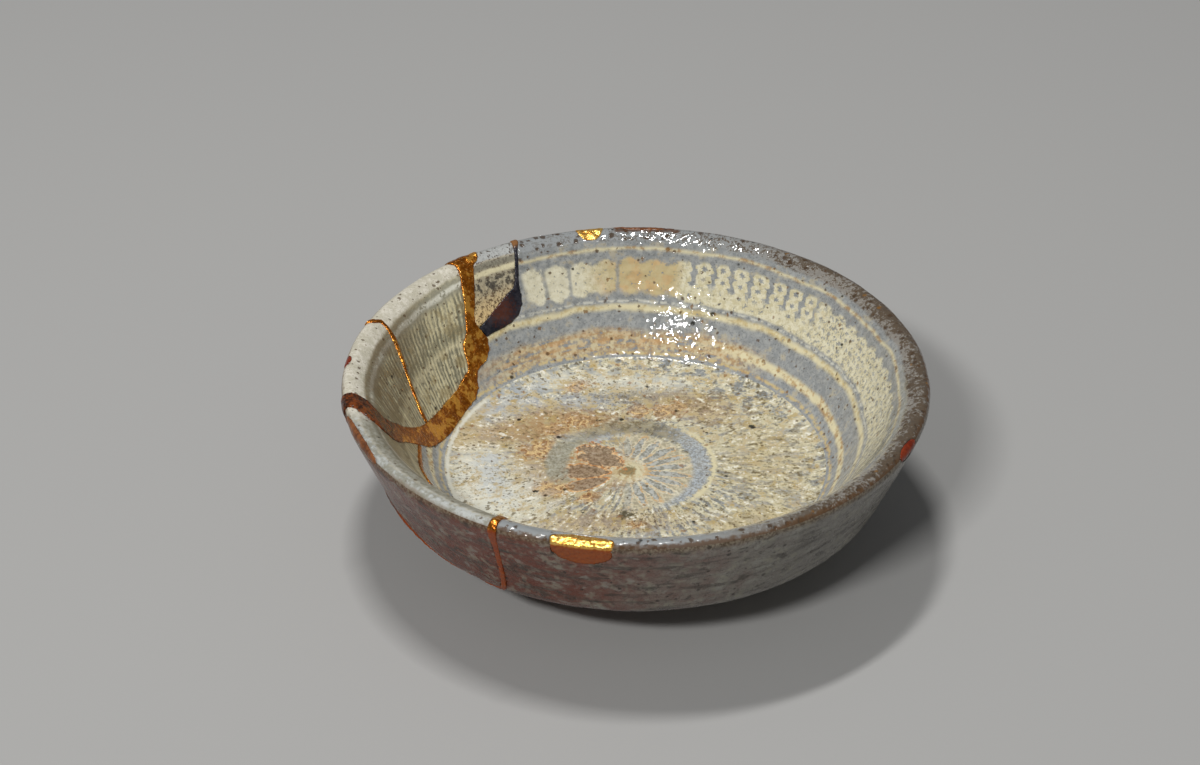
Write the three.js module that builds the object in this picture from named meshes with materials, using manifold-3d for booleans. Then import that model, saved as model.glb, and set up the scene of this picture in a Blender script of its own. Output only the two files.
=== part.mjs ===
// A shallow stoneware sake cup on a foot ring, broken at the left and mended with lacquer and gold.
// Millimetres, +Z up, with the origin under the middle of the foot.
// Angles turn from +X, the cup's right, towards +Y, its back.
import * as THREE from 'three';
import { mergeVertices } from 'three/addons/utils/BufferGeometryUtils.js';
import Module from 'manifold-3d';

const wasm = await Module();
wasm.setup();

// The cup: radii from its axis and heights above what it stands on, at the corners of its outline
const rimRadius = 62.5;
const cupHeight = 38;
const floorRadius = 41.7;
const floorHeight = 14.6;
const keelRadius = 53.4;
const keelHeight = 14;

// The lip: the round of its nose, and the swelling slope from its crest down into the bowl
const lipNose = 1.6;
const lipWidth = 4.6;
const lipDrop = 2.5;
const lipRise = 0.35;

// The foot ring, which narrows downwards, and the hollow inside it
const footRadius = 26.6;
const footWidth = 4;
const footTopRadius = 27.6;
const footTopHeight = 6.7;
const recessHeight = 7;
const recessTaper = 1.2;

// Fillets along the outline
const floorFillet = 5;
const keelFillet = 6;
const footFillet = 1;
const footEdge = 0.6;

// How pieces fit: the gap round each, how far lacquer stands proud, and how far a break leans outwards
const jointGap = 0.3;
const seamProud = 0.3;
const breakSpread = 4;

// How finely round forms are drawn, in steps to a turn, degrees to an arc's step and columns to a cut
const turns = 72;
const arcStep = 45;
const lipSteps = 3;
const cutColumns = 7;
const cutRows = 16;
const cutOverrun = 3;
const bandSteps = 1.5;
const fillSides = 14;
const fillRings = 8;

// Seams, as places along the wall: angle in degrees, share of the way from the lip to the floor, and width
const aboveRim = -0.14;
const wideSeam = [
  [129.6, aboveRim, 8.4], [129.6, 0, 8], [130.3, 0.055, 4.4], [131.2, 0.13, 3.6], [132.5, 0.22, 3.3],
  [133.8, 0.31, 2.8], [135.3, 0.39, 2.3], [136.3, 0.47, 3], [136.8, 0.56, 6.6], [138.6, 0.635, 6.8],
  [141.3, 0.7, 3.2], [142.5, 0.735, 2.5], [145.7, 0.8, 4.9], [150.3, 0.833, 4.6], [156.3, 0.842, 4.7],
  [164.3, 0.838, 5.1], [171.6, 0.8, 5.2], [176.9, 0.745, 5], [182.9, 0.62, 4], [188, 0.475, 4.4],
  [192.7, 0.33, 6.2], [193.9, 0.21, 7.2], [192.6, 0.125, 6.6], [190.8, 0.05, 5.4], [190, 0, 4.8],
  [190, aboveRim, 4.6],
];
const thinSeam = [
  [161.2, aboveRim, 1.2], [160.6, 0, 1.1], [159.3, 0.05, 0.9], [160.2, 0.14, 0.9], [160.9, 0.2, 1.2],
  [162.1, 0.28, 0.8], [164.1, 0.39, 0.8], [168.8, 0.577, 0.8], [171.2, 0.67, 0.9], [172.4, 0.8, 1],
];
const darkSeam = [
  [116.3, aboveRim, 1.5], [116.4, 0, 1.4], [117, 0.05, 0.9], [117.9, 0.14, 0.8], [118.9, 0.23, 0.8],
  [119.6, 0.3, 0.9], [120.3, 0.345, 2], [121.4, 0.395, 4.2], [124.2, 0.462, 5.2], [128.4, 0.5, 4.1],
  [132, 0.523, 2.8], [137, 0.56, 2.4],
];
const frontSeam = [
  [242.4, aboveRim, 2], [242.4, 0, 1.8], [242.2, 0.1, 1.5], [241.9, 0.25, 1.2], [241.5, 0.4, 1.1],
  [241, 0.54, 1], [240.3, 0.66, 1], [238.8, 0.745, 1], [235.8, 0.795, 1], [229, 0.81, 1], [219, 0.75, 1],
  [209.6, 0.635, 1], [202.2, 0.6, 1.1], [194, 0.65, 1.2], [187, 0.68, 1.1], [180.5, 0.67, 1],
];

// Where on the wide seam the dark seam, the thin seam and the front seam end
const darkJoin = 8;
const thinJoin = 16;
const frontJoin = 18;

// Filled chips of the rim: the angle of the fill's middle, its length along the rim, its depth and height,
// and how far its middle lies inside the rim's edge and under the crest
const rimFills = {
  fill_back_gold: { angle: 99.5, span: 7, depth: 7.2, height: 4.6, inset: 0.9, drop: 1 },
  fill_back_brown: { angle: 87.9, span: 16.4, depth: 4.2, height: 3.6, inset: 0.4, drop: 1 },
  fill_front_gold: { angle: 259.5, span: 13.4, depth: 4.6, height: 12.6, inset: 1, drop: 1 },
  fill_right_red: { angle: 333.2, span: 8, depth: 2.6, height: 3.2, inset: 0.3, drop: 1 },
  fill_left_red: { angle: 175.4, span: 4.4, depth: 2.8, height: 3, inset: 0.3, drop: 0.8 },
  fill_left_edge: { angle: 203, span: 19, depth: 2.4, height: 3, inset: 0.1, drop: 1 },
};

const degrees = Math.PI / 180;
const up = new THREE.Vector3(0, 0, 1);

// A corner of an outline, rounded by an arc of the given radius
function roundCorner(before, corner, after, radius) {
  const toBefore = new THREE.Vector2().subVectors(before, corner).normalize();
  const toAfter = new THREE.Vector2().subVectors(after, corner).normalize();
  const half = Math.acos(THREE.MathUtils.clamp(toBefore.dot(toAfter), -1, 1)) / 2;
  const middle = toBefore.clone().add(toAfter).normalize();
  const centre = corner.clone().addScaledVector(middle, radius / Math.sin(half));
  const first = corner.clone().addScaledVector(toBefore, radius / Math.tan(half));
  const last = corner.clone().addScaledVector(toAfter, radius / Math.tan(half));
  const start = first.clone().sub(centre).angle();
  const turn = last.clone().sub(centre).angle() - start;
  const sweep = Math.atan2(Math.sin(turn), Math.cos(turn));
  const steps = Math.max(2, Math.ceil(Math.abs(sweep) / degrees / arcStep));
  const arc = [];
  for (let step = 0; step <= steps; step += 1) {
    const angle = start + (sweep * step) / steps;
    arc.push(new THREE.Vector2(centre.x + radius * Math.cos(angle), centre.y + radius * Math.sin(angle)));
  }
  return arc;
}

// A line between two points that swells by the given rise in its middle
function swell(from, to, rise, steps) {
  const across = new THREE.Vector2(from.y - to.y, to.x - from.x).normalize();
  const line = [];
  for (let step = 0; step <= steps; step += 1) {
    const share = step / steps;
    line.push(from.clone().lerp(to, share).addScaledVector(across, 4 * rise * share * (1 - share)));
  }
  return line;
}

// Corners of the outline
const at = (radius, height) => new THREE.Vector2(radius, height);
const crest = at(rimRadius - lipNose, cupHeight);
const lipFoot = at(crest.x - lipWidth, cupHeight - lipDrop);
const floorCorner = at(floorRadius, floorHeight);
const floorMiddle = at(0, floorHeight);
const nose = at(rimRadius, cupHeight - lipNose);
const keel = at(keelRadius, keelHeight);
const footTop = at(footTopRadius, footTopHeight);
const footOut = at(footRadius, 0);
const footIn = at(footRadius - footWidth, 0);
const recess = at(footIn.x - recessTaper, recessHeight);
const recessMiddle = at(0, recessHeight);

// The bowl's inner side, from the crest of the lip down the wall to the floor
const innerWall = [
  ...swell(lipFoot, crest, lipRise, lipSteps).reverse(),
  ...roundCorner(lipFoot, floorCorner, floorMiddle, floorFillet),
];

// The outer side, from the nose of the lip down the wall and round the keel
const outerWall = [nose, ...roundCorner(nose, keel, footTop, keelFillet)];

// The foot ring and the hollow inside it, inwards to the axis
const foot = [
  ...roundCorner(keel, footTop, footOut, footFillet),
  ...roundCorner(footTop, footOut, footIn, footEdge),
  ...roundCorner(footOut, footIn, recess, footEdge),
  ...roundCorner(footIn, recess, recessMiddle, footFillet),
  recessMiddle,
];

// The round of the nose, up to the crest
function noseRound() {
  const arc = [];
  for (let step = 1; step < lipSteps; step += 1) {
    const angle = (step / lipSteps) * 90 * degrees;
    arc.push(at(crest.x + lipNose * Math.cos(angle), nose.y + lipNose * Math.sin(angle)));
  }
  return arc;
}

const outerSide = [...outerWall, ...foot];
const outline = [...outerSide.reverse(), ...noseRound(), ...innerWall, floorMiddle];

// The outer side of a break: down the wall and round the keel, to where a break at the floor comes out
const keelToFoot = (keelRadius - floorRadius - breakSpread) / (keelRadius - footTopRadius);
const outerBreak = [...outerWall, keel.clone().lerp(footTop, keelToFoot)];

// The same outline, moved outwards all round by a distance
function grown(points, distance) {
  return points.map((point, index) => {
    if (point.x === 0) {
      const side = index === 0 ? -1 : 1;
      return new THREE.Vector2(0, point.y + side * distance);
    }
    const before = new THREE.Vector2().subVectors(point, points[index - 1]).normalize();
    const after = new THREE.Vector2().subVectors(points[index + 1], point).normalize();
    const along = before.clone().add(after).normalize();
    const out = new THREE.Vector2(along.y, -along.x);
    const spread = Math.max(0.5, out.dot(new THREE.Vector2(before.y, -before.x)));
    return point.clone().addScaledVector(out, distance / spread);
  });
}

// A closed solid from a geometry
function solid(geometry) {
  const bare = geometry.clone();
  bare.deleteAttribute('normal');
  bare.deleteAttribute('uv');
  const merged = mergeVertices(bare, 1e-4);
  const triangles = [];
  const source = merged.index.array;
  for (let first = 0; first < source.length; first += 3) {
    const [a, b, c] = source.subarray(first, first + 3);
    if (a !== b && b !== c && c !== a) triangles.push(a, b, c);
  }
  return new wasm.Manifold(new wasm.Mesh({
    numProp: 3,
    vertProperties: new Float32Array(merged.attributes.position.array),
    triVerts: new Uint32Array(triangles),
  }));
}

// A geometry from a closed solid
function geometryOf(body) {
  const mesh = body.getMesh();
  const geometry = new THREE.BufferGeometry();
  geometry.setAttribute('position', new THREE.BufferAttribute(new Float32Array(mesh.vertProperties), 3));
  geometry.setIndex(new THREE.BufferAttribute(new Uint32Array(mesh.triVerts), 1));
  geometry.computeVertexNormals();
  return geometry;
}

// A body turned about the cup's axis
function turned(points) {
  const lathe = new THREE.LatheGeometry(points, turns);
  lathe.rotateX(Math.PI / 2);
  return solid(lathe);
}

// The length of a line of points
function lengthOf(line) {
  return line.slice(1).reduce((sum, point, index) => sum + point.distanceTo(line[index]), 0);
}

// The point at a share of a line's length
function pointAlong(line, share) {
  let left = share * lengthOf(line);
  for (let index = 1; index < line.length; index += 1) {
    const piece = line[index].distanceTo(line[index - 1]);
    if (left <= piece || index === line.length - 1) {
      return line[index - 1].clone().lerp(line[index], left / piece);
    }
    left -= piece;
  }
  return line[line.length - 1].clone();
}

const wallLength = lengthOf(innerWall);

// A straight line through the wall at an angle and a share of the way down, with both ends outside the wall
function throughWall(angle, share) {
  const within = Math.max(0, share);
  const lift = (within - share) * wallLength;
  const inside = pointAlong(innerWall, within);
  const outside = pointAlong(outerBreak, within);
  const across = outside.clone().sub(inside).normalize();
  const ends = [inside.addScaledVector(across, -cutOverrun), outside.addScaledVector(across, cutOverrun)];
  return ends.map((end) => new THREE.Vector3(end.x, 0, end.y + lift).applyAxisAngle(up, angle * degrees));
}

// A block through the wall, from rows of places on it
function wallBlock(rows) {
  const width = rows[0].length;
  const positions = [];
  const faces = [];
  rows.forEach((row) => row.forEach(([angle, share]) => {
    throughWall(angle, share).forEach((end) => positions.push(end.x, end.y, end.z));
  }));
  const end = width - 1;
  const last = rows.length - 1;
  const inside = (row, column) => (row * width + column) * 2;
  const outside = (row, column) => inside(row, column) + 1;
  const quad = (a, b, c, d) => faces.push(a, c, b, a, d, c);
  for (let row = 1; row <= last; row += 1) {
    const above = row - 1;
    for (let column = 1; column <= end; column += 1) {
      const before = column - 1;
      quad(inside(above, before), inside(row, before), inside(row, column), inside(above, column));
      quad(outside(above, before), outside(above, column), outside(row, column), outside(row, before));
    }
    quad(inside(above, 0), outside(above, 0), outside(row, 0), inside(row, 0));
    quad(inside(above, end), inside(row, end), outside(row, end), outside(above, end));
  }
  for (let column = 1; column <= end; column += 1) {
    const before = column - 1;
    quad(inside(0, before), inside(0, column), outside(0, column), outside(0, before));
    quad(inside(last, before), outside(last, before), outside(last, column), inside(last, column));
  }
  const geometry = new THREE.BufferGeometry();
  geometry.setAttribute('position', new THREE.Float32BufferAttribute(positions, 3));
  geometry.setIndex(faces);
  return solid(geometry);
}

// A smooth run of places through those given
function smooth(places, count) {
  const percent = 100;
  const points = places.map(([angle, share, width]) => new THREE.Vector3(angle, share * percent, width));
  const curve = new THREE.CatmullRomCurve3(points, false, 'centripetal');
  return curve.getPoints(count - 1).map((point) => [point.x, point.y / percent, point.z]);
}

// The seam as a band of three places across, widened on both sides by a gap
function seamBand(places, gap) {
  const run = smooth(places, Math.round(places.length * bandSteps));
  const rows = run.map(([angle, share, width], index) => {
    const [angleBefore, shareBefore] = run[Math.max(0, index - 1)];
    const [angleAfter, shareAfter] = run[Math.min(run.length - 1, index + 1)];
    const around = pointAlong(innerWall, Math.max(0, share)).x * degrees;
    const ahead = new THREE.Vector2(
      (angleAfter - angleBefore) * around,
      (shareAfter - shareBefore) * wallLength,
    ).normalize();
    const half = width / 2 + gap;
    const sideways = (half * ahead.y) / around;
    const down = (half * ahead.x) / wallLength;
    return [[angle - sideways, share + down], [angle, share], [angle + sideways, share - down]];
  });
  return wallBlock(rows);
}

// The part of the wall between two seams
function between(first, second) {
  const firstRun = smooth(first, cutRows);
  const secondRun = smooth(second, cutRows);
  return wallBlock(firstRun.map(([angle, share], index) => {
    const [otherAngle, otherShare] = secondRun[index];
    const row = [];
    for (let column = 0; column <= cutColumns; column += 1) {
      const part = column / cutColumns;
      row.push([angle + (otherAngle - angle) * part, share + (otherShare - share) * part]);
    }
    return row;
  }));
}

// A long round body bent along the rim, widened all round by a gap
function rimFill({ angle, span, depth, height, inset, drop }, gap) {
  const sphere = new THREE.SphereGeometry(1, fillSides, fillRings);
  const places = sphere.attributes.position;
  for (let index = 0; index < places.count; index += 1) {
    const radius = rimRadius - inset + places.getX(index) * (depth / 2 + gap);
    const turn = angle * degrees + (places.getY(index) * (span / 2 + gap)) / rimRadius;
    const rise = cupHeight - drop + places.getZ(index) * (height / 2 + gap);
    places.setXYZ(index, radius * Math.cos(turn), radius * Math.sin(turn), rise);
  }
  return solid(sphere);
}

const cup = turned(outline);
const proudCup = turned(grown(outline, seamProud));
const wideCut = seamBand(wideSeam, jointGap);
const seamCuts = [thinSeam, darkSeam, frontSeam].map((places) => seamBand(places, jointGap));
const fillCuts = Object.values(rimFills).map((fill) => rimFill(fill, jointGap));

// The broken-out regions of the wall, each between two seams
const leftLimb = wideSeam.slice(thinJoin).reverse();
const regions = {
  sherd_back_left: between(darkSeam, wideSeam.slice(0, darkJoin + 1)),
  sherd_upper_left: between(wideSeam.slice(0, thinJoin + 1), thinSeam),
  sherd_left: between(thinSeam, leftLimb),
  sherd_front_left: between(wideSeam.slice(frontJoin).reverse(), frontSeam),
};

// Pottery with room left for all the lacquer
function pottery(whole) {
  return [wideCut, ...seamCuts, ...fillCuts].reduce((body, cut) => body.subtract(cut), whole);
}

// A seam of lacquer right through the wall, a little proud on both sides
function seam(places) {
  return seamBand(places, 0).intersect(proudCup);
}

const stoneware = () => new THREE.MeshStandardMaterial({ color: 0xa3a6a8, roughness: 0.4, metalness: 0 });
const gold = () => new THREE.MeshStandardMaterial({ color: 0xc0883c, roughness: 0.4, metalness: 0.8 });
const blackLacquer = () => new THREE.MeshStandardMaterial({ color: 0x14151c, roughness: 0.2, metalness: 0 });
const brownLacquer = () => new THREE.MeshStandardMaterial({ color: 0x5a3420, roughness: 0.35, metalness: 0 });
const redLacquer = () => new THREE.MeshStandardMaterial({ color: 0x9a4524, roughness: 0.35, metalness: 0 });

const group = new THREE.Group();

// Adds a named piece of the cup
function addPiece(name, body, material) {
  const mesh = new THREE.Mesh(geometryOf(body), material);
  mesh.name = name;
  group.add(mesh);
}

const mainPart = Object.values(regions).reduce((body, region) => body.subtract(region), cup);
addPiece('cup_body', pottery(mainPart), stoneware());
Object.entries(regions).forEach(([name, region]) => {
  addPiece(name, pottery(cup.intersect(region)), stoneware());
});

addPiece('seam_gold_wide', seam(wideSeam), gold());
addPiece('seam_gold_thin', seam(thinSeam).subtract(wideCut), gold());
addPiece('seam_dark', seam(darkSeam).subtract(wideCut), blackLacquer());
addPiece('seam_front', seam(frontSeam).subtract(wideCut), gold());

const fillLooks = {
  fill_back_gold: gold,
  fill_back_brown: brownLacquer,
  fill_front_gold: gold,
  fill_right_red: redLacquer,
  fill_left_red: redLacquer,
  fill_left_edge: brownLacquer,
};
Object.entries(rimFills).forEach(([name, fill]) => {
  addPiece(name, rimFill(fill, 0).intersect(cup), fillLooks[name]());
});

export default group;
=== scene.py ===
import math
import bpy
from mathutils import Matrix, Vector


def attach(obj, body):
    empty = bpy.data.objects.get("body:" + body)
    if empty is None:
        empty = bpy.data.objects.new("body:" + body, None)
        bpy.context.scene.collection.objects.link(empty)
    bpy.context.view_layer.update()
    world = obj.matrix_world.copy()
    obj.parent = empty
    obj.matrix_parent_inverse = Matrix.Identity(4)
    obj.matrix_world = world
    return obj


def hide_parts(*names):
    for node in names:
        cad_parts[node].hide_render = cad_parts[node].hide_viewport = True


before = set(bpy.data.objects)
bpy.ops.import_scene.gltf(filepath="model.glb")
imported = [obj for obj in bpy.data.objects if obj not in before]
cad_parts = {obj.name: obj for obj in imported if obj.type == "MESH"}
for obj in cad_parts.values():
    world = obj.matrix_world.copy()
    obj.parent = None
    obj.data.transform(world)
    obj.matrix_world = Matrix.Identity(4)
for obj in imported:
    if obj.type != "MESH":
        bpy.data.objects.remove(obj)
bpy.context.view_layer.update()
mm = 0.001
sameSpot = 0.002 * mm  # points that lie nearer than this are one point

# choosing pieces and finishing them


def drop():
    if bpy.context.object and bpy.context.object.mode == "EDIT":
        bpy.ops.object.mode_set(mode="OBJECT")
    bpy.ops.object.select_all(action="DESELECT")


def take(piece):
    drop()
    piece.select_set(True)
    bpy.context.view_layer.objects.active = piece


def applyAll(piece):
    take(piece)
    for modifier in list(piece.modifiers):
        bpy.ops.object.modifier_apply(modifier=modifier.name)


def smooth(piece, angle=40):
    take(piece)
    bpy.ops.object.shade_smooth_by_angle(angle=math.radians(angle))


def twin(piece, name):
    made = bpy.data.objects.new(name, piece.data.copy())
    bpy.context.scene.collection.objects.link(made)
    return made


def solidOf(node, name, grow):
    made = twin(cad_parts[node], name)
    made.data.materials.clear()
    take(made)
    bpy.ops.object.mode_set(mode="EDIT")
    bpy.ops.mesh.select_all(action="SELECT")
    bpy.ops.mesh.remove_doubles(threshold=sameSpot)
    bpy.ops.transform.shrink_fatten(value=grow * mm, use_even_offset=True)
    bpy.ops.object.mode_set(mode="OBJECT")
    return made


def keepInside(piece, other):
    cut = piece.modifiers.new("cut", "BOOLEAN")
    cut.operation = "INTERSECT"
    cut.solver = "MANIFOLD"
    cut.object = other
    applyAll(piece)


def throwAway(piece):
    mesh = piece.data
    bpy.data.objects.remove(piece)
    bpy.data.meshes.remove(mesh)


# the cup as it came off the wheel

cup = {
    # radius and height in mm, from the hollow of the foot round the outside and over the lip to the floor
    "outline": [(0, 7), (20.56, 7), (21.2, 6.76), (21.54, 6.17), (22.51, 0.5), (22.72, 0.14), (23.11, 0),
                (26.08, 0), (26.47, 0.15), (26.68, 0.51), (27.5, 6.06), (27.74, 6.57), (28.22, 6.88),
                (50.58, 13.2), (52.95, 14.51), (54.5, 16.72), (62.7, 36.3), (62.6, 37.3), (61.95, 38.05),
                (60.9, 38.3), (59.2, 37.6), (57.68, 36.7), (56.3, 35.5), (43.19, 16.74), (41.4, 15.17),
                (39.09, 14.6), (0, 14.6)],
    "step": 0.85,  # mm from point to point along the outline
    "roundings": 3,  # times that its corners are softened
    "turns": 288,  # steps round the cup
    "waver": (9, 0.3),  # size and height in mm of the slow unevenness of the clay
}


def throwCup(name, proud=0):
    drop()
    start = Vector((cup["outline"][0][0], 0, cup["outline"][0][1])) * mm
    bpy.ops.mesh.primitive_plane_add(size=1 * mm, location=start)
    made = bpy.context.object
    made.name = name
    bpy.ops.object.mode_set(mode="EDIT")
    bpy.ops.mesh.select_all(action="SELECT")
    bpy.ops.mesh.merge(type="CENTER")
    for here, there in zip(cup["outline"], cup["outline"][1:]):
        reach = Vector((there[0] - here[0], 0, there[1] - here[1])) * mm
        pieces = max(1, round(reach.length / mm / cup["step"]))
        for _ in range(pieces):
            bpy.ops.mesh.extrude_region_move(TRANSFORM_OT_translate={"value": reach / pieces})
    bpy.ops.object.mode_set(mode="OBJECT")
    bpy.ops.object.transform_apply()
    for vertex in made.data.vertices:
        vertex.select = vertex.co.x > 1 * mm
    bpy.ops.object.mode_set(mode="EDIT")
    bpy.ops.mesh.vertices_smooth(factor=0.5, repeat=cup["roundings"])
    bpy.ops.mesh.select_all(action="SELECT")
    bpy.ops.mesh.spin(steps=cup["turns"], angle=math.tau, center=(0, 0, 0), axis=(0, 0, 1))
    bpy.ops.mesh.select_all(action="SELECT")
    bpy.ops.mesh.remove_doubles(threshold=2 * sameSpot)
    bpy.ops.mesh.normals_make_consistent(inside=False)
    if proud:
        bpy.ops.transform.shrink_fatten(value=proud * mm, use_even_offset=True)
    bpy.ops.object.mode_set(mode="OBJECT")
    waver = bpy.data.textures.new("waver", "CLOUDS")
    waver.noise_scale = cup["waver"][0] * mm
    push = made.modifiers.new("push", "DISPLACE")
    push.texture = waver
    push.texture_coords = "LOCAL"
    push.strength = cup["waver"][1] * mm
    applyAll(made)
    return made


thrown = throwCup("thrown")
print("cup thrown", len(thrown.data.polygons), "faces")

pottery = {
    "nodes": ["cup_body", "sherd_back_left", "sherd_upper_left", "sherd_left", "sherd_front_left"],
    "closeUp": 0.27,  # mm that each broken edge comes nearer to the lacquer
}
potteryPieces = {}
for node in pottery["nodes"]:
    made = twin(thrown, node.replace("sherd", "fineSherd").replace("cup_body", "fineBody"))
    block = solidOf(node, "block", pottery["closeUp"])
    keepInside(made, block)
    throwAway(block)
    potteryPieces[node] = made
    print("pottery", node, len(made.data.polygons), "faces")

# lacquer laid into the breaks and chips

lacquer = {
    "proud": 0.3,  # mm above the glaze
    "closeUp": 0.06,  # mm that it comes nearer to the broken edges
    "voxel": 0.24,  # mm, the fineness of its surface
    "softening": 4,
    "lumps": [(3.2, 0.32), (0.9, 0.16)],  # size and height in mm of the waves left by the brush
    "slots": {
        "seam_gold_wide": "gold_lacquer", "seam_gold_thin": "gold_lacquer", "seam_front": "gold_lacquer",
        "fill_back_gold": "gold_lacquer", "fill_front_gold": "gold_lacquer", "seam_dark": "black_lacquer",
        "fill_back_brown": "brown_lacquer", "fill_left_edge": "brown_lacquer",
        "fill_right_red": "red_lacquer", "fill_left_red": "red_lacquer",
    },
}
proudCup = throwCup("proudCup", lacquer["proud"])
lumps = []
for size, height in lacquer["lumps"]:
    lump = bpy.data.textures.new(f"lump{len(lumps)}", "CLOUDS")
    lump.noise_scale = size * mm
    lump.noise_depth = 1
    lumps.append((lump, height))
lacquerPieces = {}
for node in lacquer["slots"]:
    made = solidOf(node, node.replace("seam_", "lacquer_").replace("fill_", "chip_"), lacquer["closeUp"])
    keepInside(made, proudCup)
    grid = made.modifiers.new("grid", "REMESH")
    grid.mode = "VOXEL"
    grid.voxel_size = lacquer["voxel"] * mm
    grid.adaptivity = 0
    soften = made.modifiers.new("soften", "SMOOTH")
    soften.iterations = lacquer["softening"]
    for lump, height in lumps:
        push = made.modifiers.new("push", "DISPLACE")
        push.texture = lump
        push.texture_coords = "LOCAL"
        push.strength = height * mm
        push.mid_level = 0.5
    applyAll(made)
    lacquerPieces[node] = made
    print("lacquer", node, len(made.data.polygons), "faces")
throwAway(proudCup)
throwAway(thrown)

# finishes, mixed from nodes


def paint(red, green, blue):
    return tuple(((level / 255 + 0.055) / 1.055) ** 2.4 for level in (red, green, blue)) + (1,)


class Wire:
    def __init__(self, finish, socket):
        self.finish, self.socket = finish, socket

    def other(self, output):
        return Wire(self.finish, self.socket.node.outputs[output])

    def __add__(self, other):
        return self.finish.sum("ADD", self, other)

    def __radd__(self, other):
        return self.finish.sum("ADD", other, self)

    def __sub__(self, other):
        return self.finish.sum("SUBTRACT", self, other)

    def __rsub__(self, other):
        return self.finish.sum("SUBTRACT", other, self)

    def __mul__(self, other):
        return self.finish.sum("MULTIPLY", self, other)

    def __rmul__(self, other):
        return self.finish.sum("MULTIPLY", other, self)

    def __truediv__(self, other):
        return self.finish.sum("DIVIDE", self, other)

    def __lt__(self, other):
        return self.finish.sum("LESS_THAN", self, other)

    def __abs__(self):
        return self.finish.node("ShaderNodeMath", {"operation": "ABSOLUTE"}, {0: self})


throughCup = 900  # mm, so tall that a patch is the same at every height


class Finish:
    def __init__(self, name):
        self.material = bpy.data.materials.new(name)
        self.material.use_nodes = True
        self.tree = self.material.node_tree
        self.tree.nodes.clear()
        origin = self.node("ShaderNodeTexCoord", output="Object")
        self.place = self.node("ShaderNodeVectorMath", {"operation": "SCALE"}, {0: origin, "Scale": 1 / mm})
        self.x = self.node("ShaderNodeSeparateXYZ", values={0: self.place})
        self.y, self.z = self.x.other("Y"), self.x.other("Z")
        self.radius = self.reach(self.x, self.y)

    def node(self, kind, settings=None, values=None, output=0):
        made = self.tree.nodes.new(kind)
        for key, value in (settings or {}).items():
            setattr(made, key, value)
        for key, value in (values or {}).items():
            if isinstance(value, Wire):
                self.tree.links.new(value.socket, made.inputs[key])
            else:
                made.inputs[key].default_value = value
        return Wire(self, made.outputs[output])

    def sum(self, operation, first, second=0):
        return self.node("ShaderNodeMath", {"operation": operation}, {0: first, 1: second})

    def vector(self, x, y, z):
        return self.node("ShaderNodeCombineXYZ", values={0: x, 1: y, 2: z})

    def reach(self, x, y):
        return self.node("ShaderNodeVectorMath", {"operation": "LENGTH"}, {0: self.vector(x, y, 0)},
                         "Value")

    def mix(self, amount, under, over):
        return self.node("ShaderNodeMix", {"data_type": "RGBA"}, {0: amount, 6: under, 7: over}, 2)

    def step(self, value, low, high):
        return self.node("ShaderNodeMapRange", {"interpolation_type": "SMOOTHSTEP"},
                         {"Value": value, "From Min": low, "From Max": high})

    def noise(self, where, scale, detail=2, rough=0.5, twist=0):
        return self.node("ShaderNodeTexNoise", values={
            "Vector": where, "Scale": scale, "Detail": detail, "Roughness": rough, "Distortion": twist})

    def spots(self, where, spacing, size, share):
        # round spots of up to that size in mm, in that share of the cells
        cells = self.node("ShaderNodeTexVoronoi", values={"Vector": where, "Scale": 1 / spacing},
                          output="Distance")
        luck = self.node("ShaderNodeSeparateColor", values={0: cells.other("Color")})
        reach = cells * spacing / (luck.other("Green") * (size * 0.6) + size * 0.4)
        return self.step(reach, 1, 0.55) * (luck < share)

    def cloud(self, centre, size, turn=0, wander=0, soft=(1.15, 0.5)):
        # a soft patch, 1 in its middle; size is half its length and half its width in mm
        there = self.node("ShaderNodeMapping", {"vector_type": "TEXTURE"}, {
            "Vector": self.place, "Location": (*centre, 0), "Rotation": (0, 0, math.radians(turn)),
            "Scale": (*size, throughCup)})
        away = self.node("ShaderNodeVectorMath", {"operation": "LENGTH"}, {0: there}, "Value")
        return self.step(away + wander, *soft)

    def line(self, value, middle, width, soft=0.25):
        return self.step(abs(value - middle), width / 2 + soft, width / 2 - soft)

    def between(self, value, low, high, soft):
        return self.step(value, low - soft, low + soft) * self.step(value, high + soft, high - soft)

    def close(self, colour, roughness, height=None, depth=0.1, **constants):
        values = {"Base Color": colour, "Roughness": roughness}
        values.update({key.replace("_", " "): value for key, value in constants.items()})
        shader = self.node("ShaderNodeBsdfPrincipled", values=values)
        if height is not None:
            bump = self.node("ShaderNodeBump", values={
                "Strength": 1, "Distance": depth * mm, "Height": height})
            self.tree.links.new(bump.socket, shader.socket.node.inputs["Normal"])
        end = self.tree.nodes.new("ShaderNodeOutputMaterial")
        self.tree.links.new(shader.socket, end.inputs["Surface"])
        return self.material


palette = {
    "slate": paint(145, 148, 148), "deepSlate": paint(102, 104, 104), "ice": paint(190, 198, 205),
    "milk": paint(230, 228, 212), "cream": paint(226, 216, 178), "straw": paint(204, 184, 134),
    "tan": paint(182, 146, 96), "moss": paint(118, 104, 66), "umber": paint(84, 60, 36),
    "soot": paint(30, 28, 20),
}

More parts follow.
